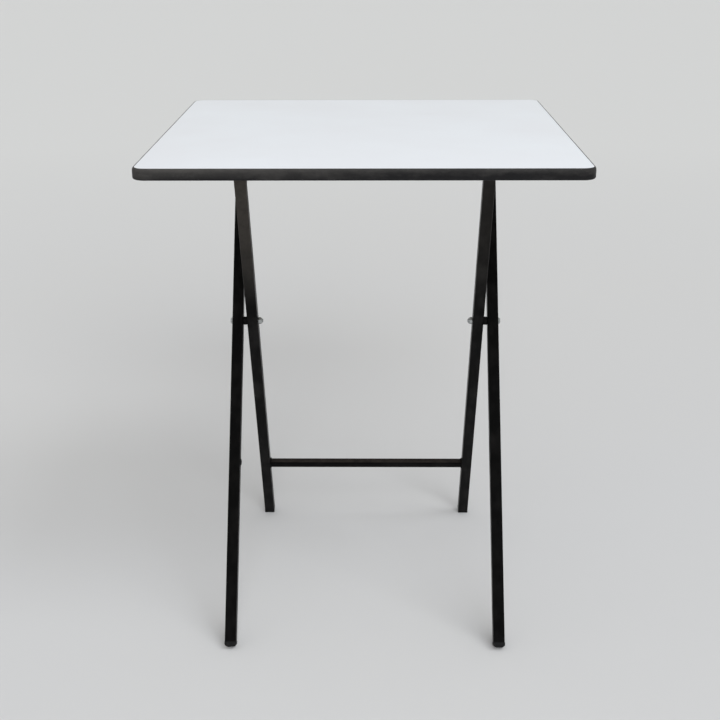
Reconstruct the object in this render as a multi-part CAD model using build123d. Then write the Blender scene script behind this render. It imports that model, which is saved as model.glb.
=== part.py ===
from build123d import *
import os
from math import atan2, cos, degrees, hypot, radians, sin

# Folding desk: a square laminated board on two scissor frames of square steel tube.
# Millimetres. X runs across the desk, Y from the user's side to the back, Z up.
# The origin is on the floor, under the middle of the board.

# Board
desk_height = 730.0
top_width = 600.0
top_depth = 600.0
top_thickness = 15.5
top_corner_radius = 18.0
band_thickness = 3.0
band_dome_width = 2.4
band_dome_drop = 5.0
band_lower_round = 2.4
laminate_thickness = 0.8
backing_thickness = 0.6

# Square tube of the legs, and the round tube across their upper ends
tube_side = 17.0
tube_wall = 1.2
tube_corner = 1.6
bar_radius = 8.0
bar_wall = 1.2
bar_top_gap = 0.3
cope_start_share = 0.35

# Where the frames stand, from the side: round tube centres, and leg lines at the floor
outer_bar_y = 146.7
outer_foot_y = -288.4
inner_bar_y = -135.3
inner_foot_y = 153.7

# Where the legs stand, from the front
outer_leg_x = 201.6
leg_gap = 6.4

# Stretcher between the inner legs
stretcher_side = 12.0
stretcher_wall = 1.0
stretcher_corner = 2.0
stretcher_height = 120.8
weld_leg = 1.6

# Feet: moulded caps pushed into the tubes
outer_foot_head = 8.0
outer_foot_overhang = 0.4
outer_foot_round = 6.0
inner_foot_head = 3.0
inner_foot_overhang = 0.2
inner_foot_round = 1.2
foot_stem_length = 18.0
stem_clearance = 0.1

# Plugs in the ends of the round tubes
plug_head = 2.0
plug_stem_length = 12.0

# Pivot bolt, spacer and locking nut
bolt_radius = 3.0
bolt_head_radius = 5.25
bolt_head_height = 3.4
bolt_head_chamfer = 1.6
bolt_tip = 1.2
running_clearance = 0.05
pivot_side_play = 0.15
spacer_radius = 6.5
nut_flats = 10.0
nut_hex_height = 4.8
nut_collar_radius = 4.3
nut_collar_height = 1.7

# Plug in the inner face of the left outer leg
leg_plug_drop = 225.0
leg_plug_radius = 5.5
leg_plug_height = 2.0
leg_plug_chamfer = 1.1
leg_plug_stem_radius = 3.2
leg_plug_stem_length = 6.0

# Pressed steel saddles that hold the rear tube, and hooks that hold the front one
strip_thickness = 1.5
strip_width = 24.0
strip_bend_radius = 2.0
fitting_x = 125.0
saddle_clearance = 0.08
saddle_flange = 17.0
hook_clearance = 0.3
hook_wrap_angle = 60.0
hook_lip_length = 4.0
hook_flange = 30.0
hook_screw_inset = 8.0

# Screws into the board
screw_radius = 2.0
screw_length = 12.0
screw_head_radius = 4.0
screw_head_height = 2.4
screw_hole_clearance = 0.3

overrun = 5.0

# Worked out from the sizes above
underside_z = desk_height - top_thickness
laminate_z = desk_height - laminate_thickness
bar_drop = bar_radius + bar_top_gap
bar_z = underside_z - bar_drop
inner_leg_x = outer_leg_x - tube_side - leg_gap
half_tube = tube_side / 2
bore_radius = bolt_radius + running_clearance
outer_lean = degrees(atan2(outer_foot_y - outer_bar_y, bar_z))
inner_lean = degrees(atan2(inner_foot_y - inner_bar_y, bar_z))
outer_slope = (outer_bar_y - outer_foot_y) / bar_z
inner_slope = (inner_bar_y - inner_foot_y) / bar_z
pivot_z = (inner_foot_y - outer_foot_y) / (outer_slope - inner_slope)
pivot_y = outer_foot_y + outer_slope * pivot_z
outer_pivot_drop = hypot(outer_bar_y - pivot_y, bar_z - pivot_z)
inner_pivot_drop = hypot(inner_bar_y - pivot_y, bar_z - pivot_z)
outer_frame_place = Pos(0, outer_bar_y, bar_z) * Rot(outer_lean, 0, 0)
inner_frame_place = Pos(0, inner_bar_y, bar_z) * Rot(inner_lean, 0, 0)
saddle_y = outer_bar_y
hook_y = inner_bar_y
saddle_inner_radius = bar_radius + saddle_clearance
saddle_outer_radius = saddle_inner_radius + strip_thickness
hook_inner_radius = bar_radius + hook_clearance
hook_outer_radius = hook_inner_radius + strip_thickness
sides = {"left": -1, "right": 1}


def upright_prism(sketch, low, high):
    """A flat outline drawn from one height to another."""
    return extrude(Pos(0, 0, low) * sketch, high - low)


def across(radius, low_x, high_x):
    """A round bar along X."""
    return Pos(low_x, 0, 0) * Rot(0, 90, 0) * upright_prism(Circle(radius), 0, high_x - low_x)


def square_tube(side, wall, corner, low, high):
    """An upright length of square tube with rounded corners."""
    outline = RectangleRounded(side, side, corner)
    bore = side - wall * 2
    hole = RectangleRounded(bore, bore, corner - wall) if corner > wall else Rectangle(bore, bore)
    return upright_prism(outline - hole, low, high)


# The board


def board_outline(inset):
    """The board's outline, drawn in from its edge."""
    return RectangleRounded(
        top_width - inset * 2, top_depth - inset * 2, top_corner_radius - inset
    )


def screw_places():
    """Where each screw goes into the board, by fitting."""
    saddle_reach = saddle_outer_radius + saddle_flange / 2
    saddle = [(side * fitting_x, saddle_y + way * saddle_reach)
              for side in sides.values() for way in (-1, 1)]
    near = hook_y - hook_outer_radius - hook_screw_inset
    far = hook_y - hook_outer_radius - hook_flange + hook_screw_inset
    hook = [(side * fitting_x, y) for side in sides.values() for y in (near, far)]
    return saddle, hook


def edge_band():
    """Black moulded edging round the whole board: domed above, rounded below."""
    face_x = top_width / 2
    crown_x = face_x - band_dome_width
    inner_x = face_x - band_thickness
    shoulder_z = desk_height - band_dome_drop
    sole_x = face_x - band_lower_round
    sole_z = underside_z + band_lower_round
    dome = EllipticalCenterArc(
        (crown_x, shoulder_z), band_dome_width, band_dome_drop, 0, arc_size=90
    )
    back = Polyline(
        (crown_x, desk_height), (inner_x, desk_height), (inner_x, underside_z), (sole_x, underside_z)
    )
    sole = RadiusArc((sole_x, underside_z), (face_x, sole_z), -band_lower_round)
    face = make_face(Plane.XZ * (dome + back + sole + Line((face_x, sole_z), (face_x, shoulder_z))))
    path = Pos(0, 0, underside_z) * board_outline(0).face().outer_wire()
    return sweep(face, path=path)


def top_laminate():
    """White sheet bonded on the core, flush with the edging."""
    return upright_prism(board_outline(band_thickness), laminate_z, desk_height)


def top_core():
    """Fibre board core: the screws cut their own way into it."""
    return upright_prism(
        board_outline(band_thickness), underside_z + backing_thickness, laminate_z
    )


def backing_laminate():
    """Balancing sheet bonded under the core."""
    return upright_prism(
        board_outline(band_thickness), underside_z, underside_z + backing_thickness
    )


# The frames


def cap_reach(lean, overhang, edge_round):
    """How far down the leg line a cap ends, so that its lowest round just meets the floor."""
    half_head = half_tube + overhang
    tilt = radians(abs(lean))
    height = bar_z - edge_round - (half_head - edge_round) * sin(tilt)
    return height / cos(tilt) + edge_round


outer_reach = cap_reach(outer_lean, outer_foot_overhang, outer_foot_round)
inner_reach = cap_reach(inner_lean, inner_foot_overhang, inner_foot_round)


def leg(x, reach, head, pivot_drop):
    """A leg: square tube coped under the round tube and bored for the pivot."""
    tube = square_tube(
        tube_side, tube_wall, tube_corner, head - reach, -bar_radius * cope_start_share
    )
    tube = tube - across(bar_radius, -tube_side, tube_side)
    tube = tube - Pos(0, 0, -pivot_drop) * across(bore_radius, -tube_side, tube_side)
    return Pos(x, 0, 0) * tube


def outer_leg(side):
    """An outer leg: the left one is also bored for its plug."""
    tube = leg(side * outer_leg_x, outer_reach, outer_foot_head, outer_pivot_drop)
    if side == sides["left"]:
        hole = across(leg_plug_stem_radius + stem_clearance, 0, tube_side)
        tube = tube - Pos(side * outer_leg_x, 0, -outer_pivot_drop - leg_plug_drop) * hole
    return outer_frame_place * tube


def inner_leg(side):
    """An inner leg."""
    return inner_frame_place * leg(
        side * inner_leg_x, inner_reach, inner_foot_head, inner_pivot_drop
    )


def top_bar(leg_x):
    """Round tube welded across the upper ends of two legs."""
    half = leg_x + half_tube
    return across(bar_radius, -half, half) - across(
        bar_radius - bar_wall, -half - overrun, half + overrun
    )


def bar_plug(leg_x, side):
    """Moulded plug in one end of a round tube."""
    head = upright_prism(Circle(bar_radius), 0, plug_head)
    stem = upright_prism(Circle(bar_radius - bar_wall - stem_clearance), -plug_stem_length, 0)
    plug = Rot(0, 90, 0) * (head + stem)
    plug = Pos(leg_x + half_tube, 0, 0) * plug
    return plug if side > 0 else mirror(plug, about=Plane.YZ)


def foot_cap(head, overhang, edge_round):
    """Moulded cap: a pillow-shaped head under the tube and a square stem in it."""
    width = tube_side + overhang * 2
    face = Pos(0, -head / 2) * Rectangle(width, head)
    face = fillet(face.vertices().group_by(Axis.Y)[0], edge_round)
    arch = extrude(Plane.XZ * face, width / 2, both=True)
    block = upright_prism(
        RectangleRounded(width, width, tube_corner + overhang), -head, 0
    )
    bore = tube_side - tube_wall * 2 - stem_clearance * 2
    corner = max(tube_corner - tube_wall, stem_clearance)
    stem = upright_prism(RectangleRounded(bore, bore, corner), 0, foot_stem_length)
    return (block & arch & Rot(0, 0, 90) * arch) + stem


def outer_foot(side):
    """Deep domed cap of an outer leg."""
    cap = foot_cap(outer_foot_head, outer_foot_overhang, outer_foot_round)
    return outer_frame_place * Pos(side * outer_leg_x, 0, outer_foot_head - outer_reach) * cap


def inner_foot(side):
    """Thin cap of an inner leg."""
    cap = foot_cap(inner_foot_head, inner_foot_overhang, inner_foot_round)
    return inner_frame_place * Pos(side * inner_leg_x, 0, inner_foot_head - inner_reach) * cap


def stretcher():
    """Square tube between the inner legs, with the weld fillets at its two ends."""
    half = inner_leg_x - half_tube
    tube = square_tube(stretcher_side, stretcher_wall, stretcher_corner, -half, half)
    bore = stretcher_side - stretcher_wall * 2
    for end in (-1, 1):
        foot = RectangleRounded(
            stretcher_side + weld_leg * 2, stretcher_side + weld_leg * 2, stretcher_corner + weld_leg
        )
        tip = RectangleRounded(stretcher_side, stretcher_side, stretcher_corner)
        bead = loft([Pos(0, 0, end * half) * foot, Pos(0, 0, end * (half - weld_leg)) * tip])
        low, high = sorted((end * half, end * (half - weld_leg)))
        hole = upright_prism(Rectangle(bore, bore), low, high)
        tube = tube + (bead - hole)
    drop = (bar_z - stretcher_height) / cos(radians(inner_lean))
    return inner_frame_place * Pos(0, 0, -drop) * Rot(0, 90, 0) * tube


# The pivots


def pivot_place(side):
    """Puts a piece built along +X, outward, on the pivot line of one side."""
    turn = Rot(0, 0, 0) if side > 0 else Rot(0, 0, 180)
    return Pos(0, pivot_y, pivot_z) * turn


def pivot_bolt(side):
    """Button-head bolt through both legs, put in from outside."""
    seat = outer_leg_x + half_tube
    tip_x = inner_leg_x - half_tube - pivot_side_play - nut_hex_height - nut_collar_height - bolt_tip
    head = across(bolt_head_radius, seat, seat + bolt_head_height)
    head = chamfer(head.edges().group_by(Axis.X)[-1], bolt_head_chamfer)
    shank = across(bolt_radius, tip_x, seat)
    return pivot_place(side) * (head + shank)


def pivot_spacer(side):
    """Black spacer tube between the two legs."""
    low = inner_leg_x + half_tube + pivot_side_play
    high = outer_leg_x - half_tube
    tube = across(spacer_radius, low, high)
    return pivot_place(side) * (tube - across(bore_radius, low - overrun, high + overrun))


def pivot_nut(side):
    """Locking nut: a hexagon and a round collar over its insert."""
    face = inner_leg_x - half_tube - pivot_side_play
    back = face - nut_hex_height
    end = back - nut_collar_height
    hexagon = Pos(back, 0, 0) * Rot(0, 90, 0) * upright_prism(
        RegularPolygon(nut_flats / 2, 6, major_radius=False), 0, nut_hex_height
    )
    nut = hexagon + across(nut_collar_radius, end, back)
    return pivot_place(side) * (nut - across(bore_radius, end - overrun, face + overrun))


def leg_plug():
    """Low plug that closes a hole in the inner face of the left outer leg."""
    head = across(leg_plug_radius, 0, leg_plug_height)
    head = chamfer(head.edges().group_by(Axis.X)[-1], leg_plug_chamfer)
    plug = head + across(leg_plug_stem_radius, -leg_plug_stem_length, 0)
    place = Pos(half_tube - outer_leg_x, 0, -outer_pivot_drop - leg_plug_drop)
    return outer_frame_place * place * plug


# The fittings under the board


def strip_from_side(face, hole_ys):
    """Bends a strip: draws its side view across its width and bores its flanges."""
    strip = extrude(Plane.YZ * face, strip_width / 2, both=True)
    for y in hole_ys:
        drill = upright_prism(Circle(screw_radius + screw_hole_clearance), 0, bar_drop + overrun)
        strip = strip - Pos(0, y, 0) * drill
    return strip


def hinge_saddle(side):
    """Pressed saddle: a U under the rear tube and two flanges screwed to the board."""
    ring = Circle(saddle_outer_radius) - Circle(saddle_inner_radius)
    lower = Pos(0, -saddle_outer_radius) * Rectangle(saddle_outer_radius * 4, saddle_outer_radius * 2)
    face = ring & lower
    reach = saddle_outer_radius + saddle_flange
    for way in (-1, 1):
        middle = (saddle_inner_radius + saddle_outer_radius) / 2
        face = face + Pos(way * middle, bar_drop / 2) * Rectangle(strip_thickness, bar_drop)
        middle = (saddle_inner_radius + reach) / 2
        length = reach - saddle_inner_radius
        face = face + Pos(way * middle, bar_drop - strip_thickness / 2) * Rectangle(
            length, strip_thickness
        )
    bends = [v for v in face.vertices()
             if abs(abs(v.X) - saddle_outer_radius) < strip_thickness / 10
             and abs(v.Y - (bar_drop - strip_thickness)) < strip_thickness / 10]
    face = fillet(bends, strip_bend_radius)
    hole = saddle_outer_radius + saddle_flange / 2
    return Pos(side * fitting_x, saddle_y, bar_z) * strip_from_side(face, (-hole, hole))


def front_hook(side):
    """Pressed hook: stands in front of the front tube and curls under it, open to the back."""
    wedge = hook_outer_radius * 2
    end_angle = 180 + hook_wrap_angle
    along = (cos(radians(end_angle)), sin(radians(end_angle)))
    ring = Circle(hook_outer_radius) - Circle(hook_inner_radius)
    face = ring & Polygon((0, 0), (-wedge, 0), (wedge * along[0], wedge * along[1]), align=None)
    middle = (hook_inner_radius + hook_outer_radius) / 2
    lip = Pos(middle * along[0], middle * along[1]) * Rot(0, 0, end_angle + 90)
    face = face + lip * Pos(hook_lip_length / 2, 0) * Rectangle(hook_lip_length, strip_thickness)
    face = face + Pos(-middle, bar_drop / 2) * Rectangle(strip_thickness, bar_drop)
    reach = hook_outer_radius + hook_flange
    flange_middle = -(hook_inner_radius + reach) / 2
    face = face + Pos(flange_middle, bar_drop - strip_thickness / 2) * Rectangle(
        reach - hook_inner_radius, strip_thickness
    )
    bends = [v for v in face.vertices()
             if abs(v.X + hook_outer_radius) < strip_thickness / 10
             and abs(v.Y - (bar_drop - strip_thickness)) < strip_thickness / 10]
    face = fillet(bends, strip_bend_radius)
    holes = (-hook_outer_radius - hook_screw_inset, hook_screw_inset - reach)
    return Pos(side * fitting_x, hook_y, bar_z) * strip_from_side(face, holes)


def screw():
    """Pan-head screw, head down."""
    shank = upright_prism(Circle(screw_radius), 0, screw_length)
    return shank + upright_prism(Circle(screw_head_radius), -screw_head_height, 0)


def screws(places):
    """Each screw in its place, under its flange."""
    seat = underside_z - strip_thickness
    return Compound([Pos(x, y, seat) * screw() for x, y in places])


def build():
    """Every node by name."""
    saddle_places, hook_places = screw_places()
    rear = Pos(0, outer_bar_y, bar_z)
    front = Pos(0, inner_bar_y, bar_z)
    nodes = {
        "top_laminate": top_laminate(),
        "top_core": top_core(),
        "backing_laminate": backing_laminate(),
        "edge_band": edge_band(),
        "outer_top_bar": rear * top_bar(outer_leg_x),
        "inner_top_bar": front * top_bar(inner_leg_x),
        "stretcher": stretcher(),
        "leg_plug": leg_plug(),
        "hinge_screws": screws(saddle_places),
        "hook_screws": screws(hook_places),
    }
    for word, side in sides.items():
        nodes["outer_leg_" + word] = outer_leg(side)
        nodes["inner_leg_" + word] = inner_leg(side)
        nodes["outer_foot_cap_" + word] = outer_foot(side)
        nodes["inner_foot_cap_" + word] = inner_foot(side)
        nodes["outer_bar_plug_" + word] = rear * bar_plug(outer_leg_x, side)
        nodes["inner_bar_plug_" + word] = front * bar_plug(inner_leg_x, side)
        nodes["pivot_bolt_" + word] = pivot_bolt(side)
        nodes["pivot_spacer_" + word] = pivot_spacer(side)
        nodes["pivot_nut_" + word] = pivot_nut(side)
        nodes["hinge_saddle_" + word] = hinge_saddle(side)
        nodes["front_hook_" + word] = front_hook(side)
    return nodes


os.makedirs("parts", exist_ok=True)
for name, solid in build().items():
    export_step(solid, "parts/" + name + ".step")
print("pivot at", round(pivot_y, 3), round(pivot_z, 3))
print("leans", round(outer_lean, 4), round(inner_lean, 4))
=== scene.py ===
import math

import bmesh
import bpy
from mathutils import Matrix, Vector


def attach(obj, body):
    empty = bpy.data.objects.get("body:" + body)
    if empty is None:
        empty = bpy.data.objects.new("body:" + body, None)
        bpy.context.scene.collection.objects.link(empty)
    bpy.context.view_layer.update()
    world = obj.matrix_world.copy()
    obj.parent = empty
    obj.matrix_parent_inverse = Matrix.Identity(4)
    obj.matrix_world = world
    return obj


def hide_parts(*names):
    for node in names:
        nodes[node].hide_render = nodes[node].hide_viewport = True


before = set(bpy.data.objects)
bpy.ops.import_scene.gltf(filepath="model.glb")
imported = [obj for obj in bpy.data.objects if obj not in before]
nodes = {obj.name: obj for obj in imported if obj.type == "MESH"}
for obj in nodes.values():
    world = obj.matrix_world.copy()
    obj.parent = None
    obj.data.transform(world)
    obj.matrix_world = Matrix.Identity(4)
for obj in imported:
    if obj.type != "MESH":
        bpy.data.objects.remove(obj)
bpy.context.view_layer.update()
mm = 0.001


# Legs
# Two pairs of 17 mm square steel tube, coped at the top and drilled for the pivots. After welding
# each frame is stove enamelled black, and handling has rubbed the gloss off in patches. The inner
# legs are painted lighter as a sheen, most on the upper part of the left one, and upward faces
# are painted lighter as if lit from above.

tube_side = 17 * mm
# Between these heights, and most on the left, the inner legs are painted lighter as a sheen.
sheen_low = 460 * mm
sheen_high = 660 * mm
sheen_side = -100 * mm
enamel_black = (0.0012, 0.0011, 0.0011, 1)
enamel_rubbed = (0.0055, 0.0051, 0.0049, 1)
# This and the next colour are a painted sheen on the inner legs; the last is painted top light.
enamel_rubbed_sheen = (0.012, 0.0113, 0.0108, 1)
enamel_sheen = (0.055, 0.049, 0.043, 1)
enamel_top_lit = (0.022, 0.018, 0.016, 1)


class Value:
    """An output of a node tree that can be used in sums."""

    def __init__(self, bench, socket):
        self.bench, self.socket = bench, socket

    def sum(self, operation, first, second):
        return self.bench.node("ShaderNodeMath", {"operation": operation}, {0: first, 1: second})

    def __add__(self, other):
        return self.sum("ADD", self, other)

    def __sub__(self, other):
        return self.sum("SUBTRACT", self, other)

    def __rsub__(self, other):
        return self.sum("SUBTRACT", other, self)

    def __mul__(self, other):
        return self.sum("MULTIPLY", self, other)

    def __truediv__(self, other):
        return self.sum("DIVIDE", self, other)

    def __rtruediv__(self, other):
        return self.sum("DIVIDE", other, self)

    __radd__ = __add__
    __rmul__ = __mul__


class Bench:
    """A node tree, and the one way to add a node to it."""

    def __init__(self, tree):
        self.tree = tree

    def node(self, kind, settings=None, inputs=None, out=0):
        made = self.tree.nodes.new(kind)
        for name, setting in (settings or {}).items():
            if name == "stops":
                made.color_ramp.elements.remove(made.color_ramp.elements[1])
                made.color_ramp.elements[0].position = setting[0][0]
                made.color_ramp.elements[0].color = setting[0][1]
                for place, colour in setting[1:]:
                    made.color_ramp.elements.new(place).color = colour
            else:
                setattr(made, name, setting)
        for name, given in (inputs or {}).items():
            socket = self.find(made.inputs, name)
            if isinstance(given, Value):
                self.tree.links.new(given.socket, socket)
            else:
                socket.default_value = given
        return Value(self, self.find(made.outputs, out)) if made.outputs else made

    def find(self, sockets, name):
        if isinstance(name, int):
            return sockets[name]
        by_code = [socket for socket in sockets if socket.identifier == name]
        return by_code[0] if by_code else sockets[name]


class Finish(Bench):
    """A material, with the patterns that its colours and surface are made from."""

    def __init__(self, name):
        self.material = bpy.data.materials.new(name)
        self.material.use_nodes = True
        self.material.node_tree.nodes.clear()
        super().__init__(self.material.node_tree)
        self.place = self.node("ShaderNodeTexCoord", out="Object")

    def noise(self, scale, detail=2.0, roughness=0.5, place=None):
        return self.node("ShaderNodeTexNoise", {}, {
            "Vector": place or self.place, "Scale": scale, "Detail": detail, "Roughness": roughness,
        })

    def stretched(self, scale):
        return self.node("ShaderNodeMapping", {}, {"Vector": self.place, "Scale": scale})

    def range(self, value, low, high, bottom=0.0, top=1.0):
        return self.node("ShaderNodeMapRange", {"clamp": True}, {
            "Value": value, "From Min": low, "From Max": high, "To Min": bottom, "To Max": top,
        })

    def blend(self, mask, first, second):
        return self.node("ShaderNodeMix", {"data_type": "RGBA"}, {
            "Factor_Float": mask, "A_Color": first, "B_Color": second,
        }, out="Result_Color")

    def bump(self, height, depth, strength=1.0, normal=None):
        inputs = {"Height": height, "Distance": depth, "Strength": strength}
        if normal:
            inputs["Normal"] = normal
        return self.node("ShaderNodeBump", {}, inputs)

    def done(self, **sockets):
        names = {key.replace("_", " ").title(): given for key, given in sockets.items()}
        names = {name.replace("Ior", "IOR"): given for name, given in names.items()}
        shader = self.node("ShaderNodeBsdfPrincipled", {}, names)
        self.node("ShaderNodeOutputMaterial", {}, {"Surface": shader})
        return self.material


def black_enamel(name, sheen_share, rubbed_and_sheen_black, shine):
    """Enamel rubbed in patches, with a share of painted sheen on upper legs and painted top light."""
    finish = Finish(name)
    patches = finish.range(finish.noise(26, 5, 0.6), 0.44, 0.68)
    streaks = finish.range(finish.noise(60, 4, 0.6, finish.stretched((1, 1, 0.18))), 0.46, 0.72)
    rubbed = finish.range(patches * 0.7 + streaks * 0.5, 0.1, 1)
    grain = finish.noise(1500, 2)
    across = finish.node("ShaderNodeSeparateXYZ", {}, {"Vector": finish.place}, out="X")
    up = finish.node("ShaderNodeSeparateXYZ", {}, {"Vector": finish.place}, out="Z")
    facing = finish.node("ShaderNodeTexCoord", out="Normal")
    facing_up = finish.node("ShaderNodeSeparateXYZ", {}, {"Vector": facing}, out="Z")
    # Painted sheen: the upper inner legs are lighter, most of all the left one.
    sheen_mask = finish.range(up, sheen_low, sheen_high) * finish.range(across, 0, sheen_side, 0.25, 1)
    sheen_mask = sheen_mask * sheen_share * finish.range(finish.noise(90, 5, 0.7), 0.2, 0.6, 0.6, 1)
    # Painted light: faces that look upwards are lighter, as if lit from above.
    top_light = finish.range(facing_up, 0.6, 0.95) * finish.range(finish.noise(70, 4, 0.6), 0.3, 0.6, 0.4, 1)
    colour = finish.blend(rubbed, enamel_black, rubbed_and_sheen_black)
    colour = finish.blend(sheen_mask, colour, enamel_sheen)
    return finish.done(
        base_color=finish.blend(top_light, colour, enamel_top_lit),
        roughness=0.34 + rubbed * 0.2 + sheen_mask * 0.15 + (grain - 0.5) * 0.08,
        specular_ior_level=shine,
        normal=finish.bump(grain + 2 * finish.noise(420, 1), 0.02 * mm, 0.6),
    )


def clothe(node, material):
    """Puts a finish on a piece that keeps its shape from the frame."""
    mesh = nodes[node].data
    mesh.materials.clear()
    mesh.materials.append(material)


enamel = black_enamel("black stove enamel", 0, enamel_rubbed, 0.06)
# The inner legs get the enamel painted lighter as a sheen.
sheen_enamel = black_enamel("handled stove enamel", 1, enamel_rubbed_sheen, 0.1)
for side in ("left", "right"):
    clothe("outer_leg_" + side, enamel)
    clothe("inner_leg_" + side, sheen_enamel)


# Tubes across the tops, and the stretcher
# Two round steel tubes close the frames under the board, and a 12 mm square one joins the inner
# legs low down. All are welded and enamelled with the legs, and the weld beads are left as laid.

bar_radius = 8 * mm
bar_z = 706.2 * mm
outer_bar_y = 146.7 * mm
inner_bar_y = -135.3 * mm
outer_leg_x = 201.6 * mm
inner_leg_x = 178.2 * mm
outer_lean = math.radians(-31.6378)
inner_lean = math.radians(22.256)
outer_frame_place = Matrix.Translation((0, outer_bar_y, bar_z)) @ Matrix.Rotation(outer_lean, 4, "X")
inner_frame_place = Matrix.Translation((0, inner_bar_y, bar_z)) @ Matrix.Rotation(inner_lean, 4, "X")
stretcher_side = 12 * mm
stretcher_corner = 2 * mm
stretcher_height = 120.8 * mm
cope_corner = 2 * mm
bead_radius = 1.25 * mm
bead_spacing = 1.1 * mm
bead_least_share = 0.84
bead_most_share = 1.08
bead_flat_share = 0.8
bead_clear_of_leg = 0.6 * mm
bead_clear_of_stretcher = 0.4 * mm

for node in ("outer_top_bar", "inner_top_bar", "stretcher"):
    clothe(node, enamel)


class Growth(Bench):
    """A Geometry Nodes tree with named sizes, run once on a mesh and turned into a plain one."""

    def __init__(self, name, sizes):
        super().__init__(bpy.data.node_groups.new(name, "GeometryNodeTree"))
        face = self.tree.interface
        face.new_socket("Geometry", in_out="INPUT", socket_type="NodeSocketGeometry")
        self.codes = {}
        for size, given in sizes.items():
            kind = "NodeSocketInt" if isinstance(given, int) else "NodeSocketFloat"
            socket = face.new_socket(size, in_out="INPUT", socket_type=kind)
            self.codes[size] = socket.identifier
        face.new_socket("Geometry", in_out="OUTPUT", socket_type="NodeSocketGeometry")
        self.sizes = sizes
        self.source = self.tree.nodes.new("NodeGroupInput")

    def given(self, name):
        return Value(self, self.source.outputs[name])

    def close(self, geometry, material):
        whole = self.node("GeometryNodeRealizeInstances", {}, {"Geometry": geometry})
        painted = self.node("GeometryNodeSetMaterial", {}, {"Geometry": whole, "Material": material})
        self.node("NodeGroupOutput", {}, {"Geometry": painted})

    def grow(self, name, points, edges, smooth=40):
        """Runs the tree on points and edges, and keeps the result as one plain mesh."""
        seed = bpy.data.meshes.new(name + " path")
        seed.from_pydata(points, edges, [])
        piece = bpy.data.objects.new(name, seed)
        bpy.context.scene.collection.objects.link(piece)
        step = piece.modifiers.new("growth", "NODES")
        step.node_group = self.tree
        for size, given in self.sizes.items():
            step[self.codes[size]] = given
        bpy.context.view_layer.update()
        graph = bpy.context.evaluated_depsgraph_get()
        grown = bpy.data.meshes.new_from_object(piece.evaluated_get(graph))
        piece.modifiers.remove(step)
        piece.data = grown
        grown.shade_smooth()
        grown.set_sharp_from_angle(angle=math.radians(smooth))
        return piece


weld = Growth("weld bead", {
    "Spacing": bead_spacing, "Radius": bead_radius, "Least": bead_least_share,
    "Most": bead_most_share, "Flatness": bead_flat_share, "Seed": 7,
})
path = weld.node("GeometryNodeMeshToCurve", {}, {"Mesh": weld.given("Geometry")})
path = weld.node("GeometryNodeResampleCurve", {"mode": "LENGTH"}, {
    "Curve": path, "Length": weld.given("Spacing"),
})
tangent = weld.node("GeometryNodeInputTangent")
turn = weld.node("FunctionNodeAlignRotationToVector", {"axis": "Z"}, {"Vector": tangent})
drop = weld.node("GeometryNodeMeshUVSphere", {}, {
    "Segments": 12, "Rings": 8, "Radius": weld.given("Radius"),
})
size = weld.node("FunctionNodeRandomValue", {"data_type": "FLOAT"}, {
    "Min_001": weld.given("Least"), "Max_001": weld.given("Most"), "Seed": weld.given("Seed"),
}, out="Value_001")
size = weld.node("ShaderNodeCombineXYZ", {}, {
    "X": size, "Y": size, "Z": weld.given("Flatness"),
})
drops = weld.node("GeometryNodeInstanceOnPoints", {}, {
    "Points": path, "Instance": drop, "Rotation": turn, "Scale": size,
})
weld.close(drops, enamel)


def cope_seam(side, leg_x):
    """The seam round a coped tube end: along its front, under the round tube, along its back."""
    inner, outer = side * (leg_x - tube_side / 2), side * (leg_x + tube_side / 2 - cope_corner)
    seam = [Vector((outer, -bar_radius, 0)), Vector((inner, -bar_radius, 0))]
    for step in range(1, 24):
        angle = math.pi * step / 24
        seam.append(Vector((inner, -bar_radius * math.cos(angle), -bar_radius * math.sin(angle))))
    return seam + [Vector((inner, bar_radius, 0)), Vector((outer, bar_radius, 0))]


def stretcher_seam(side):
    """The seam round one end of the stretcher."""
    x = side * (inner_leg_x - tube_side / 2 - bead_clear_of_leg)
    drop = (bar_z - stretcher_height) / math.cos(inner_lean)
    half = stretcher_side / 2 + bead_clear_of_stretcher
    seam = []
    for quarter in range(4):
        for step in range(5):
            angle = math.pi / 2 * (quarter + step / 4)
            corner = math.pi / 4 + math.pi / 2 * quarter
            middle = (half - stretcher_corner) * math.sqrt(2)
            seam.append(Vector((
                x,
                middle * math.cos(corner) + stretcher_corner * math.cos(angle),
                middle * math.sin(corner) + stretcher_corner * math.sin(angle) - drop,
            )))
    return seam + [seam[0]]


def lay_beads(name, place, seams):
    points, edges = [], []
    for seam in seams:
        first = len(points)
        points += [place @ point for point in seam]
        edges += [(first + step, first + step + 1) for step in range(len(seam) - 1)]
    return weld.grow(name, points, edges, 180)


outer_seams = [cope_seam(side, outer_leg_x) for side in (-1, 1)]
inner_seams = [cope_seam(side, inner_leg_x) for side in (-1, 1)]
inner_seams += [stretcher_seam(side) for side in (-1, 1)]
for name, place, seams in (
    ("outer_frame", outer_frame_place, outer_seams), ("inner_frame", inner_frame_place, inner_seams),
):
    beads = lay_beads(name + "_weld_beads", place, seams)
    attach(beads, name)


# Tube plugs and foot caps
# Black polythene mouldings. The plugs are tapped into the ends of the round tubes, and the caps
# into the feet, the outer ones deep with rounded ends and the inner ones thin and flat.

plug_head = 2 * mm
plug_round = 1.2 * mm
plug_stem_length = 12 * mm
plug_stem_radius = 6.7 * mm
plug_pip_radius = 1.3 * mm
plug_pip_bottom = 1.1 * mm
plug_pip_depth = 0.3 * mm
moulded_black = (0.006, 0.006, 0.0063, 1)
moulded_scuffed = (0.016, 0.0155, 0.015, 1)


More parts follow.
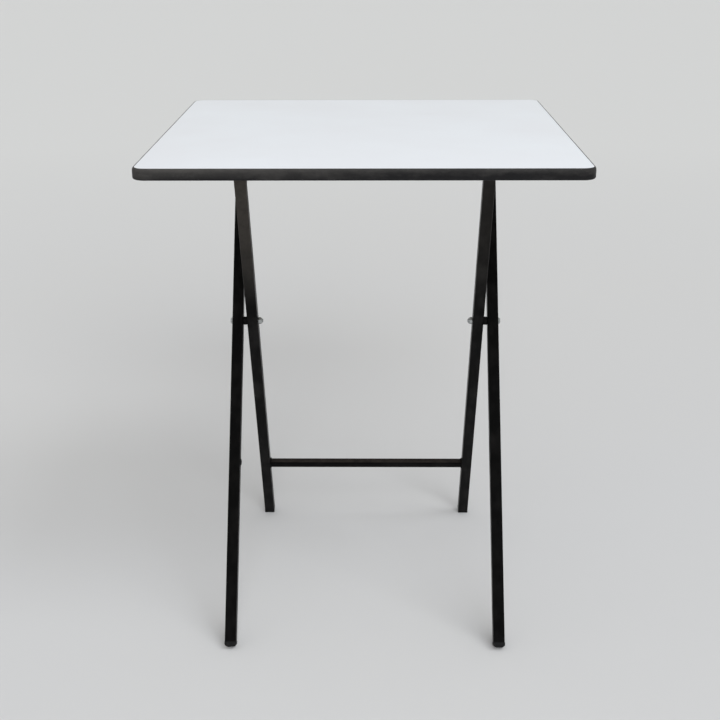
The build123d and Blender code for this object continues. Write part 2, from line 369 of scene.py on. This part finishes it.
def moulding_black():
    finish = Finish("black moulding")
    scuffs = finish.range(finish.noise(180, 6, 0.7), 0.5, 0.75)
    grain = finish.noise(2600, 2)
    return finish.done(
        base_color=finish.blend(scuffs, moulded_black, moulded_scuffed),
        roughness=0.48 + scuffs * 0.2,
        specular_ior_level=0.15,
        normal=finish.bump(grain, 0.02 * mm, 0.5),
    )


def round_ring(radius):
    return lambda angle: radius


def hexagon_ring(half_flats, corner_radius=math.inf):
    """A hexagon whose corners may be turned down to a circle."""
    def reach(angle):
        from_flat = (angle + math.pi / 6) % (math.pi / 3) - math.pi / 6
        return min(half_flats / math.cos(from_flat), corner_radius)
    return reach


def turned(name, rings, place, material, segments=48, ring_closed=False, smooth=32):
    """A piece whose skin joins rings of (height, reach at an angle) on its own Z axis."""
    form = bmesh.new()
    loops = []
    for height, reach in rings:
        loops.append([])
        for step in range(segments):
            angle = math.tau * step / segments
            radius = reach(angle)
            corner = (radius * math.cos(angle), radius * math.sin(angle), height)
            loops[-1].append(form.verts.new(corner))
    pairs = list(zip(loops, loops[1:]))
    if ring_closed:
        pairs.append((loops[-1], loops[0]))
    for low, high in pairs:
        for step in range(segments):
            after = (step + 1) % segments
            form.faces.new((low[step], low[after], high[after], high[step]))
    if not ring_closed:
        for loop, ring in ((loops[0], rings[0]), (loops[-1], rings[-1])):
            pole = form.verts.new((0, 0, ring[0]))
            for step in range(segments):
                form.faces.new((loop[step], loop[(step + 1) % segments], pole))
    bmesh.ops.recalc_face_normals(form, faces=form.faces)
    form.transform(place)
    mesh = bpy.data.meshes.new(name)
    form.to_mesh(mesh)
    form.free()
    mesh.materials.append(material)
    mesh.shade_smooth()
    mesh.set_sharp_from_angle(angle=math.radians(smooth))
    piece = bpy.data.objects.new(name, mesh)
    bpy.context.scene.collection.objects.link(piece)
    return piece


def rounded_rim(radius, low, height, corner, steps=6):
    """Rings from a cylinder's side over a rounded rim to the flat of its end."""
    rings = []
    for step in range(steps + 1):
        angle = math.pi / 2 * step / steps
        rings.append((
            low + height - corner + corner * math.sin(angle),
            round_ring(radius - corner + corner * math.cos(angle)),
        ))
    return rings


moulding = moulding_black()
for side, sign in (("left", -1), ("right", 1)):
    clothe("outer_foot_cap_" + side, moulding)
    clothe("inner_foot_cap_" + side, moulding)
    outward = Matrix.Rotation(sign * math.pi / 2, 4, "Y")
    for kind, leg_x, bar_y in (("outer", outer_leg_x, outer_bar_y), ("inner", inner_leg_x, inner_bar_y)):
        end = sign * (leg_x + tube_side / 2)
        rings = [(-plug_stem_length, round_ring(plug_stem_radius)), (0, round_ring(plug_stem_radius))]
        rings += [(0, round_ring(bar_radius))] + rounded_rim(bar_radius, 0, plug_head, plug_round)
        rings.append((plug_head, round_ring(plug_pip_radius)))
        rings.append((plug_head - plug_pip_depth, round_ring(plug_pip_bottom)))
        plug = turned(
            kind + "_tube_plug_" + side, rings,
            Matrix.Translation((end, bar_y, bar_z)) @ outward, moulding,
        )
        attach(plug, kind + "_frame")
        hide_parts(kind + "_bar_plug_" + side)


# Pivots
# A zinc plated button-head bolt goes in from outside through both legs, with a black nylon spacer
# between them. A locking nut with a white nylon ring is done up on the inner side.

pivot_y = -22.749 * mm
pivot_z = 431.171 * mm
bolt_radius = 3 * mm
bolt_head_radius = 5.25 * mm
bolt_head_height = 3.4 * mm
bolt_head_rim = 0.5 * mm
bolt_head_flat = 2.7 * mm
bolt_socket = 2 * mm
bolt_socket_mouth = 2.48 * mm
bolt_socket_chamfer = 0.25 * mm
bolt_socket_depth = 1.8 * mm
bolt_tip = 1.2 * mm
bolt_tip_radius = 2.1 * mm
thread_pitch = 1 * mm
thread_depth = 0.5 * mm
thread_steps = 8
thread_start_depth = 1 * mm
thread_end = 0.5 * mm
side_play = 0.15 * mm
running_fit = 0.05 * mm
spacer_radius = 6.5 * mm
spacer_bevel = 0.4 * mm
nut_half_flats = 5 * mm
nut_height = 4.8 * mm
nut_front_trims = ((0.2, 0.35), (0.45, 0.1), (0.7, 0))
nut_back_trims = ((0.9, 0), (0.6, 0.1), (0.3, 0.35))
collar_radius = 4.3 * mm
collar_height = 1.7 * mm
collar_round = 0.7 * mm
insert_wall = 0.85 * mm
insert_sink = 0.3 * mm
insert_proud = 0.25 * mm
insert_grip = 0.02 * mm
spanner_turn = Matrix.Rotation(math.radians(30), 4, "Z")
zinc_bright = (0.52, 0.54, 0.54, 1)
zinc_dull = (0.34, 0.35, 0.35, 1)


def zinc_plate():
    finish = Finish("bright zinc plate")
    clouds = finish.range(finish.noise(420, 4, 0.6), 0.35, 0.7)
    marks = finish.noise(3000, 2, 0.5, finish.stretched((1, 0.2, 1)))
    return finish.done(
        base_color=finish.blend(clouds, zinc_bright, zinc_dull),
        metallic=1.0,
        roughness=0.27 + clouds * 0.14,
        normal=finish.bump(marks, 0.01 * mm, 0.5),
    )


def nylon(name, colour, roughness, shine):
    finish = Finish(name)
    clouds = finish.range(finish.noise(300, 3), 0.3, 0.7)
    pale = tuple(min(1, part * 1.3) for part in colour[:3]) + (1,)
    return finish.done(
        base_color=finish.blend(clouds, colour, pale),
        roughness=roughness + clouds * 0.1,
        specular_ior_level=shine,
        normal=finish.bump(finish.noise(2200, 2), 0.015 * mm, 0.5),
    )


def thread_ring(height, radius):
    """A section of a single-start screw thread."""
    def reach(angle):
        turn = (height / thread_pitch + angle / math.tau) % 1
        return radius - thread_depth * min(1, abs(turn - 0.5) * 2.6)
    return reach


zinc = zinc_plate()
spacer_nylon = nylon("black nylon", (0.0022, 0.0021, 0.0021, 1), 0.42, 0.1)
ring_nylon = nylon("white nylon", (0.62, 0.62, 0.60, 1), 0.38, 0.4)

for side, sign in (("left", -1), ("right", 1)):
    outward = Matrix.Rotation(sign * math.pi / 2, 4, "Y")
    pivot = Matrix.Translation((0, pivot_y, pivot_z)) @ outward
    head_seat = outer_leg_x + tube_side / 2
    nut_face = inner_leg_x - tube_side / 2 - side_play
    nut_back = nut_face - nut_height
    nut_end = nut_back - collar_height
    tip = nut_end - bolt_tip
    thread_start = nut_face - thread_start_depth

    rings = [(tip, round_ring(bolt_tip_radius))]
    steps = int((thread_start - tip - thread_end) / (thread_pitch / thread_steps))
    for step in range(steps + 1):
        height = tip + thread_end + thread_pitch / thread_steps * step
        rings.append((height, thread_ring(height, bolt_radius)))
    rings += [(thread_start, round_ring(bolt_radius)), (head_seat, round_ring(bolt_radius))]
    rings += [(head_seat, round_ring(bolt_head_radius))]
    rise = bolt_head_height - bolt_head_rim
    for step in range(9):
        angle = math.pi / 2 * step / 8
        rings.append((
            head_seat + bolt_head_rim + rise * math.sin(angle),
            round_ring(bolt_head_flat + (bolt_head_radius - bolt_head_flat) * math.cos(angle)),
        ))
    top = head_seat + bolt_head_height
    rings.append((top, round_ring(bolt_socket_mouth)))
    rings.append((top - bolt_socket_chamfer, hexagon_ring(bolt_socket)))
    rings.append((top - bolt_socket_depth, hexagon_ring(bolt_socket)))
    bolt = turned("button_bolt_" + side, rings, pivot, zinc)
    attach(bolt, "outer_frame")
    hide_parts("pivot_bolt_" + side)

    low, high = inner_leg_x + tube_side / 2 + side_play, outer_leg_x - tube_side / 2
    bore = bolt_radius + running_fit
    rings = [(low, round_ring(bore)), (low, round_ring(spacer_radius - spacer_bevel))]
    rings += [(low + spacer_bevel, round_ring(spacer_radius))]
    rings += [(high - spacer_bevel, round_ring(spacer_radius))]
    rings += [(high, round_ring(spacer_radius - spacer_bevel)), (high, round_ring(bore))]
    spacer = turned("spacer_" + side, rings, pivot, spacer_nylon, ring_closed=True)
    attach(spacer, "outer_frame")
    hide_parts("pivot_spacer_" + side)

    corner = nut_half_flats / math.cos(math.pi / 6)
    rings = [(nut_face, round_ring(bore)), (nut_face, round_ring(nut_half_flats - 0.1 * mm))]
    for depth, trim in nut_front_trims:
        rings.append((nut_face - depth * mm, hexagon_ring(nut_half_flats, corner - trim * mm)))
    for depth, trim in nut_back_trims:
        rings.append((nut_back + depth * mm, hexagon_ring(nut_half_flats, corner - trim * mm)))
    rings += [(nut_back, round_ring(nut_half_flats - 0.15 * mm))]
    rings += [(nut_back - 0.1 * mm, round_ring(collar_radius + 0.1 * mm))]
    rings += [(nut_end + collar_round, round_ring(collar_radius))]
    rings += [(nut_end + 0.15 * mm, round_ring(collar_radius - collar_round / 2))]
    rings += [(nut_end, round_ring(collar_radius - insert_wall + running_fit))]
    rings += [(nut_end + insert_sink, round_ring(collar_radius - insert_wall))]
    rings += [(nut_end + insert_sink, round_ring(bore))]
    nut = turned("locking_nut_" + side, rings, pivot @ spanner_turn, zinc, ring_closed=True)
    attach(nut, "outer_frame")
    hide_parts("pivot_nut_" + side)

    proud = nut_end + insert_sink - insert_proud
    rings = [(nut_end + insert_sink, round_ring(bolt_radius + insert_grip))]
    rings += [(nut_end + insert_sink, round_ring(collar_radius - insert_wall - 0.01 * mm))]
    rings += [(proud, round_ring(collar_radius - insert_wall - running_fit))]
    rings += [(proud, round_ring(bolt_radius + insert_grip))]
    insert = turned("nut_insert_" + side, rings, pivot, ring_nylon, ring_closed=True)
    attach(insert, "outer_frame")


# Leg plug
# One low domed plug of black polythene closes a spare hole in the inner face of the left outer
# leg, below the pivot.

leg_plug_drop = 225 * mm
leg_plug_radius = 5.5 * mm
leg_plug_height = 2 * mm
leg_plug_rim = 0.3 * mm
leg_plug_stem_length = 6 * mm
leg_plug_stem_radius = 3.2 * mm
leg_plug_tip_radius = 2.6 * mm
leg_plug_taper = 2 * mm
pivot_drop = math.hypot(outer_bar_y - pivot_y, bar_z - pivot_z)

rings = [(-leg_plug_stem_length, round_ring(leg_plug_tip_radius))]
rings += [(leg_plug_taper - leg_plug_stem_length, round_ring(leg_plug_stem_radius))]
rings += [(0, round_ring(leg_plug_stem_radius)), (0, round_ring(leg_plug_radius))]
rings += [(leg_plug_rim, round_ring(leg_plug_radius))]
for step in range(1, 8):
    angle = math.pi / 2 * step / 8
    rings.append((
        leg_plug_rim + (leg_plug_height - leg_plug_rim) * math.sin(angle),
        round_ring(leg_plug_radius * math.cos(angle)),
    ))
rings.append((leg_plug_height, round_ring(leg_plug_rim)))
leg_plug = turned(
    "domed_leg_plug", rings,
    outer_frame_place
    @ Matrix.Translation((tube_side / 2 - outer_leg_x, 0, -pivot_drop - leg_plug_drop))
    @ Matrix.Rotation(math.pi / 2, 4, "Y"),
    moulding,
)
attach(leg_plug, "outer_frame")
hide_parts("leg_plug")


# Board
# Fibre board with a white laminate glued on it and a balancing sheet below. A black moulded
# edging, domed above and rounded below, is glued round it, flush with the laminate.

desk_height = 730 * mm
underside_z = 714.5 * mm
scuff_start = 100 * mm
scuff_full = -280 * mm
scuff_rise = 6 * mm
edging_foot = 2 * mm
board_brown = (0.30, 0.20, 0.12, 1)
board_fleck = (0.42, 0.30, 0.19, 1)
sheet_grey = (0.50, 0.48, 0.44, 1)
sheet_pale = (0.56, 0.54, 0.50, 1)
laminate_white = (0.757, 0.782, 0.813, 1)
laminate_shade = (0.738, 0.753, 0.78, 1)
edging_black = (0.0085, 0.0082, 0.0088, 1)
# This colour serves both wear and a painted sheen towards the top of the edging.
edging_wear_and_sheen = (0.054, 0.051, 0.048, 1)


def fibre_board():
    finish = Finish("fibre board")
    flecks = finish.range(finish.noise(900, 5, 0.7), 0.4, 0.65)
    return finish.done(
        base_color=finish.blend(flecks, board_brown, board_fleck),
        roughness=0.85,
        normal=finish.bump(finish.noise(1800, 3), 0.05 * mm, 0.6),
    )


def balancing_sheet():
    finish = Finish("balancing sheet")
    clouds = finish.range(finish.noise(12, 4, 0.6), 0.35, 0.65)
    return finish.done(
        base_color=finish.blend(clouds, sheet_grey, sheet_pale),
        roughness=0.55 + clouds * 0.08,
        normal=finish.bump(finish.noise(900, 3), 0.03 * mm, 0.5),
    )


def white_laminate():
    finish = Finish("white laminate")
    clouds = finish.range(finish.noise(5, 3, 0.5), 0.35, 0.65)
    return finish.done(
        base_color=finish.blend(clouds, laminate_white, laminate_shade),
        roughness=0.4 + clouds * 0.05,
        specular_ior_level=0.4,
        normal=finish.bump(finish.noise(1100, 2), 0.02 * mm, 0.4),
    )


def black_edging():
    finish = Finish("black moulded edging")
    along = finish.stretched((1, 1, 2.5))
    across = finish.node("ShaderNodeSeparateXYZ", {}, {"Vector": finish.place}, out="X")
    up = finish.node("ShaderNodeSeparateXYZ", {}, {"Vector": finish.place}, out="Z")
    patches = finish.range(finish.noise(35, 6, 0.65, along), 0.42, 0.7)
    specks = finish.range(finish.noise(420, 4, 0.7, along), 0.56, 0.72)
    # Wear and a painted sheen: the edging is lighter towards its top.
    upper_wear_and_sheen = finish.range(up, underside_z + edging_foot, desk_height)
    left = finish.range(across, scuff_start, scuff_full)
    left = left * finish.range(up, underside_z, underside_z + scuff_rise)
    wear_and_sheen = finish.range(patches * 0.4 + specks * 0.4 + upper_wear_and_sheen * upper_wear_and_sheen * 0.6 + left * 0.5, 0.16, 1.2)
    return finish.done(
        base_color=finish.blend(wear_and_sheen, edging_black, edging_wear_and_sheen),
        roughness=0.42 + wear_and_sheen * 0.2,
        specular_ior_level=0.14,
        normal=finish.bump(finish.noise(700, 3), 0.04 * mm, 0.6),
    )


clothe("top_core", fibre_board())
clothe("backing_laminate", balancing_sheet())
clothe("edge_band", black_edging())
clothe("top_laminate", white_laminate())


# Saddles, hooks and their screws
# Strips of 1.5 mm steel, pressed to shape and blacked. The saddles hold the rear tube and the
# hooks the front one, each on two pan-head screws driven up into the board.

saddle_screw_reach = 18.08 * mm
hook_screw_reaches = (17.8 * mm, 31.8 * mm)
fitting_x = 125 * mm
strip_thickness = 1.5 * mm
screw_head_radius = 4 * mm
screw_head_height = 2.4 * mm
screw_head_cut_share = 0.86
screw_shank_radius = 2 * mm
screw_shank_length = 12 * mm
recess_width = 0.8 * mm
recess_length = 4 * mm
recess_depth = 1.3 * mm
blacked_steel = (0.020, 0.020, 0.022, 1)
blacked_rubbed = (0.06, 0.058, 0.056, 1)


def blacked():
    finish = Finish("blacked steel")
    rub = finish.range(finish.noise(140, 5, 0.65), 0.48, 0.75)
    return finish.done(
        base_color=finish.blend(rub, blacked_steel, blacked_rubbed),
        metallic=0.6,
        roughness=0.42 + rub * 0.15,
        normal=finish.bump(finish.noise(1600, 2), 0.02 * mm, 0.5),
    )


fitting = blacked()
for side in ("left", "right"):
    clothe("hinge_saddle_" + side, fitting)
    clothe("front_hook_" + side, fitting)

screw = Growth("pan-head screw", {
    "Head radius": screw_head_radius, "Head height": screw_head_height,
    "Head cut": screw_head_cut_share,
    "Shank radius": screw_shank_radius, "Shank length": screw_shank_length,
    "Recess width": recess_width, "Recess length": recess_length, "Recess depth": recess_depth,
})
ball = screw.node("GeometryNodeMeshUVSphere", {}, {"Segments": 32, "Rings": 16, "Radius": 1.0})
place = screw.node("GeometryNodeInputPosition")
axes = {"X": None, "Y": None, "Z": None}
for axis in axes:
    axes[axis] = screw.node("ShaderNodeSeparateXYZ", {}, {"Vector": place}, out=axis)
flat = screw.node("ShaderNodeMath", {"operation": "MINIMUM"}, {0: axes["Z"], 1: 0.0})
cut = screw.given("Head cut")
flat = screw.node("ShaderNodeMath", {"operation": "MAXIMUM"}, {0: flat, 1: cut * -1})
domed = screw.node("ShaderNodeCombineXYZ", {}, {
    "X": axes["X"] * screw.given("Head radius"), "Y": axes["Y"] * screw.given("Head radius"),
    "Z": flat * screw.given("Head height") / cut,
})
head = screw.node("GeometryNodeSetPosition", {}, {"Geometry": ball, "Position": domed})
shank = screw.node("GeometryNodeMeshCylinder", {}, {
    "Vertices": 24, "Radius": screw.given("Shank radius"), "Depth": screw.given("Shank length"),
}, out="Mesh")
lift = screw.node("ShaderNodeCombineXYZ", {}, {"Z": screw.given("Shank length") * 0.5})
shank = screw.node("GeometryNodeTransform", {}, {"Geometry": shank, "Translation": lift})
for across, along in (("X", "Y"), ("Y", "X")):
    slot = screw.node("ShaderNodeCombineXYZ", {}, {
        across: screw.given("Recess width"), along: screw.given("Recess length"),
        "Z": screw.given("Recess depth") * 2,
    })
    block = screw.node("GeometryNodeMeshCube", {}, {"Size": slot}, out="Mesh")
    lower = screw.node("ShaderNodeCombineXYZ", {}, {"Z": screw.given("Head height") * -1})
    block = screw.node("GeometryNodeTransform", {}, {"Geometry": block, "Translation": lower})
    head = screw.node("GeometryNodeMeshBoolean", {"operation": "DIFFERENCE"}, {0: head, 1: block})
both = screw.tree.nodes.new("GeometryNodeJoinGeometry")
for part in (head, shank):
    screw.tree.links.new(part.socket, both.inputs[0])
placed = screw.node("GeometryNodeInstanceOnPoints", {}, {
    "Points": screw.given("Geometry"), "Instance": Value(screw, both.outputs[0]),
})
screw.close(placed, zinc)

seat = underside_z - strip_thickness
saddle_y = [outer_bar_y - saddle_screw_reach, outer_bar_y + saddle_screw_reach]
hook_y = [inner_bar_y - reach for reach in hook_screw_reaches]
for name, node, places in (
    ("saddle_screws", "hinge_screws", saddle_y), ("front_hook_screws", "hook_screws", hook_y),
):
    points = [(x, y, seat) for x in (-fitting_x, fitting_x) for y in places]
    piece = screw.grow(name, points, [])
    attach(piece, "desktop")
    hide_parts(node)


# Studio
# A pale paper floor runs out to a background of the same tone, and its colour is painted darker
# near the desk as painted shade. A window on the right, a broader one behind the camera and a dim
# ceiling give the shadows. A near lamp lightens the front of the top, and even light comes from all
# round.

floor_radius = 40
# Within these reaches the floor's colour is painted darker towards the desk, as painted shade.
near_reach = 1
far_reach = 4
floor_near = (0.62, 0.622, 0.63, 1)
floor_far = (0.674, 0.678, 0.678, 1)
floor_tint = (0.64, 0.632, 0.615, 1)
background = (0.652, 0.661, 0.659, 1)

finish = Finish("paper floor")
clouds = finish.range(finish.noise(0.7, 2, 0.5), 0.3, 0.7, 0, 0.35)
# Painted shade: the floor is darker near the desk and lighter farther out.
away = finish.node("ShaderNodeVectorMath", {"operation": "LENGTH"}, {0: finish.place}, out="Value")
far = finish.range(away, near_reach, far_reach)
painted_falloff = finish.blend(far, floor_near, floor_far)
paper = finish.done(
    base_color=finish.blend(clouds * (1 - far), painted_falloff, floor_tint),
    roughness=0.9,
    specular_ior_level=0.1,
)
form = bmesh.new()
bmesh.ops.create_circle(form, cap_ends=True, radius=floor_radius, segments=96)
mesh = bpy.data.meshes.new("floor")
form.to_mesh(mesh)
form.free()
mesh.materials.append(paper)
floor = bpy.data.objects.new("floor", mesh)
bpy.context.scene.collection.objects.link(floor)

world = bpy.data.worlds.new("studio")
bpy.context.scene.world = world
world.use_nodes = True
world.node_tree.nodes.clear()
sky = Bench(world.node_tree)
camera_ray = sky.node("ShaderNodeLightPath", out="Is Camera Ray")
glossy_ray = sky.node("ShaderNodeLightPath", out="Is Glossy Ray")
clear_ray = sky.node("ShaderNodeLightPath", out="Is Transmission Ray")
seen = sky.node("ShaderNodeMath", {"operation": "MAXIMUM"}, {0: camera_ray, 1: glossy_ray})
seen = sky.node("ShaderNodeMath", {"operation": "MAXIMUM"}, {0: seen, 1: clear_ray})
lit = sky.node("ShaderNodeBackground", {}, {"Color": (1, 0.985, 0.95, 1), "Strength": 0.42})
shown = sky.node("ShaderNodeBackground", {}, {"Color": background, "Strength": 1.0})
mixed = sky.node("ShaderNodeMixShader", {}, {0: seen, 1: lit, 2: shown})
sky.node("ShaderNodeOutputWorld", {}, {"Surface": mixed})

for name, aim, energy, spread in (
    ("right window", (-0.64, 0.33, -1), 0.57, 24), ("front window", (-0.5, 2, -1), 1.78, 38),
    ("ceiling", (-0.15, 0.1, -1), 0.53, 130),
):
    daylight = bpy.data.lights.new(name, "SUN")
    daylight.angle = math.radians(spread)
    daylight.energy = energy
    daylight.color = (0.98, 1, 1.015)
    light = bpy.data.objects.new(name, daylight)
    light.rotation_euler = Vector(aim).to_track_quat("-Z", "Y").to_euler()
    light.visible_glossy = False
    bpy.context.scene.collection.objects.link(light)

fill_place = Vector((0.25, -1, 1.5))
desk_front = Vector((0, -0.2, 0.73))
fill = bpy.data.lights.new("fill", "AREA")
fill.size = 0.9
fill.energy = 3.2
fill.color = (0.9, 0.97, 1.12)
light = bpy.data.objects.new("fill", fill)
light.location = fill_place
light.rotation_euler = (desk_front - fill_place).to_track_quat("-Z", "Y").to_euler()
light.visible_glossy = False
light.visible_camera = False
bpy.context.scene.collection.objects.link(light)

picture = 720
focal = 1180.42
eye_place = (0.01202, -1.79541, 1.03508)
pitch, yaw, roll = 0.3617, 0.0116, -0.0033
camera = bpy.data.cameras.new("camera")
camera.sensor_width = 36
camera.lens = focal / picture * camera.sensor_width
camera.clip_end = 200
eye = bpy.data.objects.new("camera", camera)
eye.matrix_world = (
    Matrix.Translation(eye_place)
    @ Matrix.Rotation(yaw, 4, "Z")
    @ Matrix.Rotation(math.pi / 2 - pitch, 4, "X")
    @ Matrix.Rotation(roll, 4, "Z")
)
bpy.context.scene.collection.objects.link(eye)
bpy.context.scene.camera = eye
bpy.context.scene.view_settings.view_transform = "Standard"
